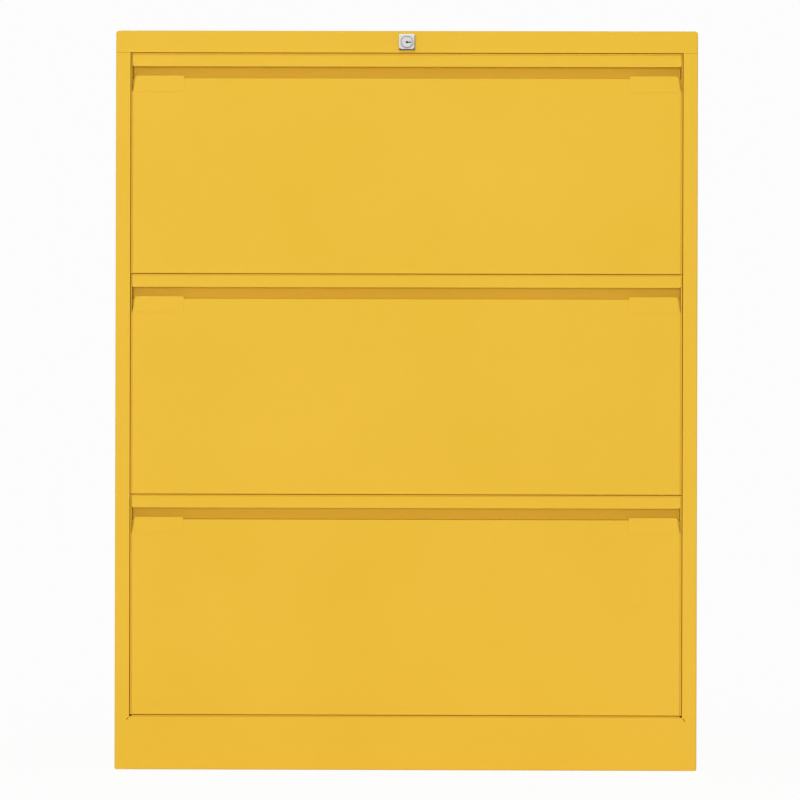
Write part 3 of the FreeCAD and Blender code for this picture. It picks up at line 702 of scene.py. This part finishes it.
@dataclass
class LockFace:
    """Square bezel with its threaded sleeve, and the pressed cap and dust shutter on the barrel; the
    shutter's black plastic is also painted shade for the deep keyway.
    """

    finishes: Finishes
    corner: float = 2.8 * MM
    bevel: float = 2.4 * MM
    bevel_rise: float = 3.0 * MM
    bevel_steps: int = 6
    corner_steps: int = 6
    softness: float = 0.5 * MM
    mouth_radius: float = 8.75 * MM
    bore_radius: float = 8.25 * MM
    mouth_depth: float = 0.5 * MM
    sleeve_radius: float = 9.5 * MM
    thread_pitch: float = 1.5 * MM
    thread_depth: float = 0.7 * MM
    plain_turns: int = 2
    cap_radius: float = 7.6 * MM
    cap_thickness: float = 0.4 * MM
    groove_radius: float = 6.2 * MM
    groove_width: float = 0.35 * MM
    groove_depth: float = 0.25 * MM
    key_length: float = 6.0 * MM
    key_half: float = 0.8 * MM
    key_eye: float = 1.7 * MM
    eye_steps: int = 20
    # Size of the black dust shutter, which is also painted keyway shade.
    shade_shutter_gap: float = 0.06 * MM
    shade_shutter_sunk: float = 0.2 * MM
    shade_shutter_depth: float = 2.0 * MM
    round_steps: int = 64

    def build(self) -> None:
        """Builds the three pieces and hides the bezel's plain solid."""
        low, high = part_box("lock_bezel")
        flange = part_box("top_panel")[0].y
        axis = Vector(((low.x + high.x) / 2, flange, (low.z + high.z) / 2))
        bezel = self.bezel(high.x - low.x, flange - low.y, high.y - flange)
        put(bezel, Facing.FRONT, axis)
        made = self.finishes.piece(bezel, "soft_lock_bezel", Slot.LOCK, "carcass")
        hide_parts("lock_bezel")
        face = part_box("lock_barrel")[0].y
        cap = self.cap()
        put(cap, Facing.FRONT, Vector((axis.x, face, axis.z)))
        self.finishes.piece(cap, "barrel_face_cap", Slot.LOCK, "lock_cylinder")
        # Black dust shutter in the keyway: a real part, and also painted shade standing in for the keyway's
        # depth.
        shade_shutter = self.shade_shutter()
        put(shade_shutter, Facing.FRONT, Vector((axis.x, face, axis.z)))
        self.finishes.piece(shade_shutter, "keyway_painted_shade_shutter", Slot.PLASTIC, "lock_cylinder")

    def bezel(self, width: float, proud: float, sleeve: float) -> bmesh.types.BMesh:
        """Builds the bezel facing +Z, with the cabinet's face at zero.

        Args:
            width: Its width and height.
            proud: How far it stands out.
            sleeve: Length of the sleeve behind it.

        Returns:
            The mesh.
        """
        bm = bmesh.new()
        bmesh.ops.create_grid(bm, x_segments=1, y_segments=1, size=width / 2)
        bmesh.ops.bevel(
            bm,
            geom=bm.verts[:],
            offset=self.corner,
            offset_type="OFFSET",
            affect="VERTICES",
            segments=self.corner_steps,
            profile=0.5,
            material=-1,
        )
        back = bm.faces[:]
        rim = [edge for edge in bm.edges if edge.is_boundary]
        bmesh.ops.delete(bm, geom=back, context="FACES_ONLY")
        inner = draw_loop(bm, rim, 1.0, proud - self.bevel_rise)
        half = width / 2
        height = 0.0
        for step in range(1, self.bevel_steps + 1):
            turn = QUARTER_TURN * step / self.bevel_steps
            narrower = width / 2 - self.bevel * (1.0 - math.cos(turn))
            higher = self.bevel_rise * math.sin(turn)
            inner = draw_loop(bm, inner, narrower / half, higher - height)
            half = narrower
            height = higher
        mouth = draw_ring(bm, self.mouth_radius, proud, self.round_steps)
        fill_level(bm, inner + mouth)
        throat = draw_loop(bm, mouth, self.bore_radius / self.mouth_radius, -self.mouth_depth)
        tail = draw_loop(bm, throat, 1.0, self.mouth_depth - proud - sleeve)
        outer = draw_loop(bm, tail, (self.sleeve_radius - self.thread_depth) / self.bore_radius, 0.0)
        collar = draw_loop(bm, outer, 1.0, sleeve)
        fill_level(bm, rim + collar)
        bmesh.ops.remove_doubles(bm, verts=bm.verts[:], dist=WELD_DISTANCE)
        bmesh.ops.recalc_face_normals(bm, faces=bm.faces[:])
        turns = int(sleeve / self.thread_pitch) - self.plain_turns
        low = self.thread_pitch - sleeve
        thread = wind_thread(self.sleeve_radius, self.thread_depth, self.thread_pitch, turns, low)
        smooth(bm, FOLD_CREASE)
        return merge([bm, thread])

    def keyway(self, bm: bmesh.types.BMesh, inset: float) -> list[bmesh.types.BMEdge]:
        """Draws the keyway's outline at zero: a round eye with a slot to its right.

        Args:
            bm: The empty mesh to draw in.
            inset: How far the outline is drawn in.

        Returns:
            Edges of the outline.
        """
        radius = self.key_eye - inset
        half = self.key_half - inset
        half_turn = math.asin(half / radius)
        start = bm.verts.new((radius * math.cos(half_turn), half, 0.0))
        eye = bmesh.ops.spin(
            bm,
            geom=[start],
            cent=ORIGIN,
            axis=UP,
            dvec=ORIGIN,
            angle=math.tau - 2 * half_turn,
            steps=self.eye_steps,
            use_merge=False,
            use_normal_flip=False,
            use_duplicate=False,
        )
        last = [item for item in eye["geom_last"] if isinstance(item, bmesh.types.BMVert)][0]
        upper = bm.verts.new((self.key_length - inset, half, 0.0))
        lower = bm.verts.new((self.key_length - inset, -half, 0.0))
        for ends in ((start, upper), (upper, lower), (lower, last)):
            bm.edges.new(ends)
        return bm.edges[:]

    def shade_shutter(self) -> bmesh.types.BMesh:
        """Builds the dust shutter inside the keyway, facing +Z; its black plastic is also painted shade that
        makes the shallow keyway read deep and dark.

        Returns:
            The mesh, with the barrel's face at zero.
        """
        bm = bmesh.new()
        outline = self.keyway(bm, self.shade_shutter_gap)
        fill_level(bm, outline)
        rim = draw_loop(bm, outline, 1.0, -self.shade_shutter_depth)
        fill_level(bm, rim)
        bmesh.ops.translate(bm, vec=(0.0, 0.0, -self.shade_shutter_sunk), verts=bm.verts[:])
        bmesh.ops.recalc_face_normals(bm, faces=bm.faces[:])
        smooth(bm, CUT_CREASE)
        return bm

    def cap(self) -> bmesh.types.BMesh:
        """Builds the barrel's cap facing +Z, with a ring groove and the keyway.

        Returns:
            The mesh, with the barrel's face at zero.
        """
        bm = bmesh.new()
        keyway = self.keyway(bm, 0.0)
        bmesh.ops.translate(bm, vec=(0.0, 0.0, self.cap_thickness), verts=bm.verts[:])
        loop = draw_ring(bm, self.groove_radius, self.cap_thickness, self.round_steps)
        fill_level(bm, loop + keyway)
        wall = self.groove_width / 4
        steps = (
            (self.groove_radius + wall, -self.groove_depth),
            (self.groove_radius + self.groove_width - wall, 0.0),
            (self.groove_radius + self.groove_width, self.groove_depth),
            (self.cap_radius - self.softness, 0.0),
            (self.cap_radius - self.softness / 3, -self.cap_thickness / 4),
            (self.cap_radius, -self.cap_thickness * 3 / 4),
        )
        radius = self.groove_radius
        for wider, rise in steps:
            loop = draw_loop(bm, loop, wider / radius, rise)
            radius = wider
        draw_loop(bm, keyway, 1.0, -self.cap_thickness)
        bmesh.ops.recalc_face_normals(bm, faces=bm.faces[:])
        smooth(bm, CUT_CREASE)
        return bm


def wind_thread(crest: float, depth: float, pitch: float, turns: int, low: float) -> bmesh.types.BMesh:
    """Winds a thread's ridge about the Z axis.

    Args:
        crest: Outer radius.
        depth: Depth of the thread.
        pitch: Rise of one turn.
        turns: Number of turns.
        low: Height of its lower end.

    Returns:
        The mesh of the ridge alone.
    """
    root = crest - depth * THREAD_ROOT_SHARE
    flank = pitch * THREAD_FLANK_SHARE
    bm = bmesh.new()
    corners = ((root, low - flank), (crest, low), (root, low + flank))
    tooth = [bm.verts.new((radius, 0.0, height)) for radius, height in corners]
    edges = [bm.edges.new(ends) for ends in zip(tooth, tooth[1:] + tooth[:1])]
    wound = bmesh.ops.spin(
        bm,
        geom=tooth + edges,
        cent=ORIGIN,
        axis=UP,
        dvec=(0.0, 0.0, pitch / THREAD_STEPS),
        angle=math.tau * turns,
        steps=THREAD_STEPS * turns,
        use_merge=False,
        use_normal_flip=False,
        use_duplicate=False,
    )
    end = [item for item in wound["geom_last"] if isinstance(item, bmesh.types.BMVert)]
    bm.faces.new(tooth)
    bm.faces.new(end)
    bmesh.ops.recalc_face_normals(bm, faces=bm.faces[:])
    smooth(bm, THREAD_CREASE)
    return bm


# Levelling feet


@dataclass
class LevellingFoot:
    """Moulded pad with a spanner hexagon, on a threaded stem."""

    finishes: Finishes
    corner: str
    edge: float = 1.4 * MM
    ease_share: float = 0.3
    crown_drop: tuple[float, float, float] = (2.0, 0.9, 0.4)
    crown_share: float = 0.72
    hollow_radius: float = 9.0 * MM
    hollow_depth: float = 0.6 * MM
    pad_height: float = 8.0 * MM
    stem_radius: float = 5.0 * MM
    thread_depth: float = 0.75 * MM
    plain_turns: int = 3
    thread_pitch: float = 1.5 * MM
    hexagon_sides: int = 6
    hexagon_flats: float = 17.0 * MM
    hexagon_height: float = 5.0 * MM
    steps: int = 48

    def build(self) -> None:
        """Builds the pad and the stem in place of the plain solid."""
        node = self.corner + "_foot"
        low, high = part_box(node)
        place = Vector(((low.x + high.x) / 2, (low.y + high.y) / 2, low.z))
        radius = (high.x - low.x) / 2
        pad = merge([self.pad(radius), self.hexagon()])
        put(pad, Facing.UPWARDS, place)
        stem = self.stem(high.z - low.z)
        put(stem, Facing.UPWARDS, place)
        made = self.finishes.piece(pad, self.corner + "_foot_pad", Slot.PLASTIC, node)
        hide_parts(node)
        self.finishes.piece(stem, self.corner + "_foot_stem", Slot.ZINC, node)

    def pad(self, radius: float) -> bmesh.types.BMesh:
        """Builds the round pad, standing on zero, with a shallow hollow underneath.

        Args:
            radius: The pad's radius.

        Returns:
            The mesh.
        """
        top = self.pad_height
        ease = self.edge * self.ease_share
        outline = (
            (0.0, self.hollow_depth),
            (self.hollow_radius, self.hollow_depth),
            (self.hollow_radius + self.hollow_depth, 0.0),
            (radius - self.edge, 0.0),
            (radius - ease, ease),
            (radius, self.edge),
            (radius, top - self.edge * self.crown_drop[0]),
            (radius - ease, top - self.edge * self.crown_drop[1]),
            (radius - self.edge, top - self.edge * self.crown_drop[2]),
            (radius * self.crown_share, top),
            (0.0, top),
        )
        bm = bmesh.new()
        lathe(bm, outline, self.steps)
        smooth(bm, MOULD_CREASE)
        return bm

    def hexagon(self) -> bmesh.types.BMesh:
        """Builds the spanner hexagon on top of the pad.

        Returns:
            The mesh.
        """
        bm = bmesh.new()
        reach = self.hexagon_flats / math.sqrt(3)
        bmesh.ops.create_circle(bm, cap_ends=True, segments=self.hexagon_sides, radius=reach)
        raised = bmesh.ops.extrude_face_region(bm, geom=bm.faces[:])["geom"]
        verts = [item for item in raised if isinstance(item, bmesh.types.BMVert)]
        bmesh.ops.translate(bm, vec=(0.0, 0.0, self.hexagon_height), verts=verts)
        bmesh.ops.recalc_face_normals(bm, faces=bm.faces[:])
        soft_edges(bm, bm.edges[:], self.edge / 3)
        bmesh.ops.translate(bm, vec=(0.0, 0.0, self.pad_height - self.edge / 2), verts=bm.verts[:])
        smooth(bm, MOULD_CREASE)
        return bm

    def stem(self, height: float) -> bmesh.types.BMesh:
        """Builds the threaded stem.

        Args:
            height: Height of its upper end over the pad's underside.

        Returns:
            The mesh.
        """
        core = self.stem_radius - self.thread_depth
        low = self.pad_height + self.hexagon_height - self.edge
        outline = (
            (0.0, low),
            (core, low),
            (core, height - core / 3),
            (core * 2 / 3, height),
            (0.0, height),
        )
        bm = bmesh.new()
        lathe(bm, outline, self.steps)
        smooth(bm, CUT_CREASE)
        turns = int((height - low) / self.thread_pitch) - self.plain_turns
        start = low + self.thread_pitch
        thread = wind_thread(self.stem_radius, self.thread_depth, self.thread_pitch, turns, start)
        return merge([bm, thread])


# Small fixings


@dataclass
class Fixings:
    """Rivets, weld marks and buffers that hold and stop the drawers."""

    finishes: Finishes
    rivet_radius: float = 4.0 * MM
    rivet_height: float = 1.4 * MM
    rivet_outline: Outline = (
        (1.0, 0.0),
        (1.0, 0.2),
        (0.9, 0.55),
        (0.6, 0.9),
        (0.3, 1.0),
        (0.22, 0.7),
        (0.0, 0.65),
    )
    weld_radius: float = 3.2 * MM
    weld_height: float = 0.22 * MM
    weld_outline: Outline = ((1.0, 0.0), (0.86, 0.8), (0.72, 1.0), (0.55, 0.5), (0.0, 0.25))
    rivet_shares: tuple[float, ...] = (0.10, 0.42, 0.88)
    front_weld_shares: tuple[float, ...] = (-0.90, -0.54, -0.18, 0.18, 0.54, 0.90)
    front_weld_drop: float = 42.0 * MM
    buffer_width: float = 11.0 * MM
    buffer_depth: float = 3.6 * MM
    buffer_height: float = 18.0 * MM
    buffer_gap: float = 0.5 * MM
    buffer_edge: float = 1.0 * MM
    buffer_nose: float = 1.8 * MM
    steps: int = 14

    def build(self) -> None:
        """Builds the fixings of each drawer and of the case."""
        for number in DRAWERS:
            body = f"drawer_{number}"
            self.finishes.piece(self.tray_rivets(number), f"tray_{number}_rivets", Slot.ZINC, body)
            self.finishes.piece(self.front_welds(number), f"tray_{number}_weld_marks", Slot.PAINT, body)
            self.finishes.piece(self.buffers(number), f"slide_{number}_buffers", Slot.PLASTIC, "carcass")
        self.finishes.piece(self.guide_welds(), "guide_weld_marks", Slot.PAINT, "carcass")

    def rivet(self) -> bmesh.types.BMesh:
        """Builds a domed rivet head that stands up on zero.

        Returns:
            The mesh.
        """
        outline = [(self.rivet_radius * out, self.rivet_height * up) for out, up in self.rivet_outline]
        bm = bmesh.new()
        lathe(bm, outline, self.steps)
        smooth(bm, RIVET_CREASE)
        return bm

    def weld_mark(self) -> bmesh.types.BMesh:
        """Builds the low ring that a spot weld leaves, standing up on zero.

        Returns:
            The mesh.
        """
        outline = [(self.weld_radius * out, self.weld_height * up) for out, up in self.weld_outline]
        bm = bmesh.new()
        lathe(bm, outline, self.steps)
        smooth(bm, WELD_CREASE)
        return bm

    def tray_rivets(self, number: int) -> bmesh.types.BMesh:
        """Builds the rivets through a tray's sides into its slides.

        Args:
            number: The drawer, counted from the top.

        Returns:
            The mesh, in place.
        """
        slide_low, slide_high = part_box(f"slide_{number}_inner_members")
        middle = (slide_low.z + slide_high.z) / 2
        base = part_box(f"drawer_{number}_base")
        parts = []
        for side in Side:
            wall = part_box(f"drawer_{number}_{side.name.lower()}_side")
            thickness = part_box("back_panel")[1].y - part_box("back_panel")[0].y
            face = wall[1].x - thickness if side is Side.RIGHT else wall[0].x + thickness
            facing = Facing.LEFTWARDS if side is Side.RIGHT else Facing.RIGHTWARDS
            for share in self.rivet_shares:
                head = self.rivet()
                along = base[0].y + share * (base[1].y - base[0].y)
                put(head, facing, Vector((face, along, middle)))
                parts.append(head)
        return merge(parts)

    def front_welds(self, number: int) -> bmesh.types.BMesh:
        """Builds the weld marks inside a tray's front wall.

        Args:
            number: The drawer, counted from the top.

        Returns:
            The mesh, in place.
        """
        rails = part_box(f"drawer_{number}_file_rails")
        level = rails[0].z - self.front_weld_drop
        parts = []
        for share in self.front_weld_shares:
            mark = self.weld_mark()
            put(mark, Facing.REAR, Vector((share * rails[1].x, rails[0].y, level)))
            parts.append(mark)
        return merge(parts)

    def guide_welds(self) -> bmesh.types.BMesh:
        """Builds the weld marks on the outside of the back panel, behind the lock bar's guides.

        Returns:
            The mesh, in place.
        """
        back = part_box("back_panel")[1].y
        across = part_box("lock_brackets")[1].x - self.weld_radius * 2
        parts = []
        for number in DRAWERS:
            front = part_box(f"drawer_{number}_front")
            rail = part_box(f"drawer_{number}_grip_rail")
            for side in Side:
                mark = self.weld_mark()
                place = Vector((side.value * across, back, (front[0].z + rail[1].z) / 2))
                put(mark, Facing.REAR, place)
                parts.append(mark)
        return merge(parts)

    def buffers(self, number: int) -> bmesh.types.BMesh:
        """Builds the rubber buffers on the rear posts, behind the slides.

        Args:
            number: The drawer, counted from the top.

        Returns:
            The mesh, in place.
        """
        low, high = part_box(f"slide_{number}_outer_members")
        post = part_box("right_uprights")[0].x
        parts = []
        for side in Side:
            bm = bmesh.new()
            bmesh.ops.create_cube(bm, size=1.0)
            size = (self.buffer_width, self.buffer_height, self.buffer_depth - self.buffer_nose)
            bmesh.ops.scale(bm, vec=size, verts=bm.verts[:])
            soft_edges(bm, bm.edges[:], self.buffer_edge / 2)
            bm.faces.ensure_lookup_table()
            nose = max(bm.faces, key=lambda face: face.calc_center_median().z)
            bmesh.ops.inset_region(bm, faces=[nose], thickness=self.buffer_edge, depth=0.0)
            bmesh.ops.inset_region(bm, faces=[nose], thickness=self.buffer_edge, depth=self.buffer_nose)
            smooth(bm, FOLD_CREASE)
            middle = high.y + self.buffer_gap + self.buffer_depth / 2 + self.buffer_nose / 2
            across = side.value * (post - self.buffer_width / 2)
            put(bm, Facing.FRONT, Vector((across, middle, (low.z + high.z) / 2)))
            parts.append(bm)
        return merge(parts)


# Finger recesses


@dataclass
class RecessEnds:
    """Folded ends that close a drawer's finger recess and its tapered corners."""

    finishes: Finishes
    number: int
    sheet: float = 1.0 * MM
    fold_depth: float = 2.5 * MM
    ear_depth: float = 8.0 * MM
    reach: float = 7.0 * MM
    play: float = 0.1 * MM
    softness: float = 0.2 * MM

    def build(self) -> None:
        """Builds the ends of both sides as one piece."""
        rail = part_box(f"drawer_{self.number}_grip_rail")
        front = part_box(f"drawer_{self.number}_front")[1]
        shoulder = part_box(f"drawer_{self.number}_grip_end_plates")[0].z + self.play
        half = rail[1].x
        inner = half + self.play
        shelf = front.z - self.sheet - self.play
        fold = rail[0].y + self.fold_depth
        wall = rail[1].y - self.sheet - self.play
        strip = ((inner, shoulder), (front.x, shoulder), (front.x, rail[1].z), (inner, rail[1].z))
        outer = half - self.reach
        ear = ((outer, shoulder), (inner, shoulder), (inner, shelf), (outer, shelf))
        cheek = ((fold, shoulder), (wall, shoulder), (wall, rail[1].z), (fold, rail[1].z))
        parts = []
        for side in Side:
            parts.append(self.upright(strip, side, fold))
            parts.append(self.upright(ear, side, rail[0].y + self.ear_depth))
            parts.append(self.sideways(cheek, inner + self.sheet if side is Side.RIGHT else -inner))
        body = f"drawer_{self.number}"
        self.finishes.piece(merge(parts), f"recess_{self.number}_ends", Slot.PAINT, body)

    def upright(self, corners: Outline, side: Side, face: float) -> bmesh.types.BMesh:
        """Builds a plate that faces the front.

        Args:
            corners: Its corners as distance from the middle and height.
            side: The side of the cabinet that it is on.
            face: Depth of its face.

        Returns:
            The mesh, in place.
        """
        bm = plate([(side.value * across, up) for across, up in corners], self.sheet, self.softness)
        smooth(bm, FOLD_CREASE)
        put(bm, Facing.FRONT, Vector((0.0, face, 0.0)))
        return bm

    def sideways(self, corners: Outline, face: float) -> bmesh.types.BMesh:
        """Builds a plate that faces the right.

        Args:
            corners: Its corners as depth and height.
            face: Where its face is, across the cabinet.

        Returns:
            The mesh, in place.
        """
        bm = plate(corners, self.sheet, self.softness)
        smooth(bm, FOLD_CREASE)
        stand = Matrix(((0.0, 0.0, 1.0), (1.0, 0.0, 0.0), (0.0, 1.0, 0.0))).to_4x4()
        bmesh.ops.transform(bm, matrix=Matrix.Translation((face, 0.0, 0.0)) @ stand, verts=bm.verts[:])
        return bm


# Studio


@dataclass
class Studio:
    """Pale floor, soft light and the camera."""

    white: float = 0.978
    floor_colour: Colour = (0.90, 0.90, 0.90, 1.0)
    floor_glow_share: float = 0.95
    # Painted reflection: strength of the fixed dim glow that glossy rays see on the floor.
    floor_painted_reflection: float = 0.08
    floor_size: float = 60.0
    dome_dim: float = 0.14
    dome_bright: float = 0.78
    dome_lean: tuple[float, float, float] = (-0.5, -0.4, 0.75)
    sheen_from: float = -0.35
    sheen_to: float = 0.30
    key_power: float = 300.0
    key_size: float = 1.6
    key_place: tuple[float, float, float] = (-0.3, -9.0, 0.8)
    camera_place: tuple[float, float, float] = (0.0289, -5.2315, 0.5087)
    camera_yaw: float = -0.00746
    camera_roll: float = 0.00244
    camera_lens: float = 163.70
    camera_sensor: float = 36.0

    def build(self) -> None:
        """Builds the floor, the lights and the camera."""
        self.floor()
        self.dome()
        self.key_light()
        self.camera()
        bpy.context.scene.view_settings.view_transform = "Standard"

    def seen_directly(self, wiring: Wiring) -> bpy.types.NodeSocket:
        """Marks the rays that should meet a plain white.

        Args:
            wiring: The tree that needs the mark.

        Returns:
            One for camera rays, zero for the rest.
        """
        return wiring.add("ShaderNodeLightPath").outputs["Is Camera Ray"]

    def floor(self) -> None:
        """Lays the floor, which glows for the camera and takes a shadow; in reflections it shows a fixed dim
        glow, a painted reflection that darkens the lock's lower bevels.
        """
        bm = bmesh.new()
        bmesh.ops.create_grid(bm, x_segments=1, y_segments=1, size=self.floor_size)
        mesh = bpy.data.meshes.new("studio_floor")
        bm.to_mesh(mesh)
        bm.free()
        material = bpy.data.materials.new("pale floor")
        material.use_nodes = True
        wiring = Wiring(material.node_tree)
        matt = wiring.add("ShaderNodeBsdfDiffuse")
        matt.inputs["Color"].default_value = self.floor_colour
        glow = wiring.add("ShaderNodeEmission")
        share = wiring.add("ShaderNodeMath", operation="MULTIPLY")
        share.inputs[1].default_value = self.floor_glow_share
        wiring.join(self.seen_directly(wiring), share.inputs[0])
        # Painted reflection: glossy rays see the floor as a fixed dim glow instead of its lit surface.
        painted_reflection = wiring.add("ShaderNodeEmission")
        painted_reflection.inputs["Strength"].default_value = self.floor_painted_reflection
        mirrored = wiring.add("ShaderNodeMixShader")
        wiring.join(wiring.add("ShaderNodeLightPath").outputs["Is Glossy Ray"], mirrored.inputs[0])
        wiring.join(matt.outputs["BSDF"], mirrored.inputs[1])
        wiring.join(painted_reflection.outputs["Emission"], mirrored.inputs[2])
        mix = wiring.add("ShaderNodeMixShader")
        wiring.join(share.outputs["Value"], mix.inputs[0])
        wiring.join(mirrored.outputs["Shader"], mix.inputs[1])
        wiring.join(glow.outputs["Emission"], mix.inputs[2])
        output = wiring.add("ShaderNodeOutputMaterial")
        wiring.join(mix.outputs["Shader"], output.inputs["Surface"])
        mesh.materials.append(material)
        floor = bpy.data.objects.new("studio_floor", mesh)
        bpy.context.scene.collection.objects.link(floor)

    def dome(self) -> None:
        """Surrounds the cabinet with light that is stronger from the upper left, and looks white."""
        world = bpy.data.worlds.new("studio dome")
        world.use_nodes = True
        wiring = Wiring(world.node_tree)
        light = wiring.add("ShaderNodeBackground")
        light.inputs["Color"].default_value = (1.0, 1.0, 1.0, 1.0)
        lean = wiring.add("ShaderNodeVectorMath", operation="DOT_PRODUCT")
        wiring.join(wiring.add("ShaderNodeTexCoord").outputs["Generated"], lean.inputs[0])
        lean.inputs[1].default_value = Vector(self.dome_lean).normalized()
        grade = wiring.add("ShaderNodeMapRange")
        grade.inputs["From Min"].default_value = -1.0
        grade.inputs["To Min"].default_value = self.dome_dim
        grade.inputs["To Max"].default_value = self.dome_bright
        wiring.join(lean.outputs["Value"], grade.inputs["Value"])
        sheen = wiring.add("ShaderNodeMapRange")
        sheen.inputs["From Min"].default_value = self.sheen_from
        sheen.inputs["From Max"].default_value = self.sheen_to
        wiring.join(lean.outputs["Value"], sheen.inputs["Value"])
        choice = wiring.add("ShaderNodeMix")
        wiring.join(wiring.add("ShaderNodeLightPath").outputs["Is Glossy Ray"], choice.inputs["Factor"])
        wiring.join(grade.outputs["Result"], choice.inputs["A"])
        wiring.join(sheen.outputs["Result"], choice.inputs["B"])
        wiring.join(choice.outputs["Result"], light.inputs["Strength"])
        plain = wiring.add("ShaderNodeBackground")
        plain.inputs["Color"].default_value = (self.white, self.white, self.white, 1.0)
        mix = wiring.add("ShaderNodeMixShader")
        wiring.join(self.seen_directly(wiring), mix.inputs[0])
        wiring.join(light.outputs["Background"], mix.inputs[1])
        wiring.join(plain.outputs["Background"], mix.inputs[2])
        output = wiring.add("ShaderNodeOutputWorld")
        wiring.join(mix.outputs["Shader"], output.inputs["Surface"])
        bpy.context.scene.world = world

    def key_light(self) -> None:
        """Sets one soft light in front, beside the camera, so that it reaches into the recesses."""
        lamp = bpy.data.lights.new("key_light", "AREA")
        lamp.energy = self.key_power
        lamp.size = self.key_size
        light = bpy.data.objects.new("key_light", lamp)
        light.location = self.key_place
        light.visible_glossy = False
        aim = (CAD_BOX[0] + CAD_BOX[1]) / 2 - Vector(self.key_place)
        light.rotation_mode = "QUATERNION"
        light.rotation_quaternion = aim.to_track_quat("-Z", "Y")
        bpy.context.scene.collection.objects.link(light)

    def camera(self) -> None:
        """Sets the camera level, square to the front but for a slight turn and tilt."""
        lens = bpy.data.cameras.new("camera")
        lens.lens = self.camera_lens
        lens.sensor_width = self.camera_sensor
        lens.clip_end = 2 * self.floor_size
        camera = bpy.data.objects.new("camera", lens)
        level = Matrix.Rotation(QUARTER_TURN, 4, "X")
        turned = Matrix.Rotation(-self.camera_yaw, 4, "Z") @ level @ Matrix.Rotation(self.camera_roll, 4, "Z")
        camera.matrix_world = Matrix.Translation(self.camera_place) @ turned
        bpy.context.scene.collection.objects.link(camera)
        bpy.context.scene.camera = camera


def main() -> None:
    """Dresses the cabinet, adds its small pieces and sets up the studio."""
    logging.basicConfig(level=logging.INFO, format="%(name)s: %(message)s")
    finishes = Finishes()
    finishes.dress_frame()
    LockFace(finishes).build()
    for corner in ("front_left", "front_right", "rear_left", "rear_right"):
        LevellingFoot(finishes, corner).build()
    Fixings(finishes).build()
    for number in DRAWERS:
        RecessEnds(finishes, number).build()
    Studio().build()


if __name__ == "__main__":
    main()
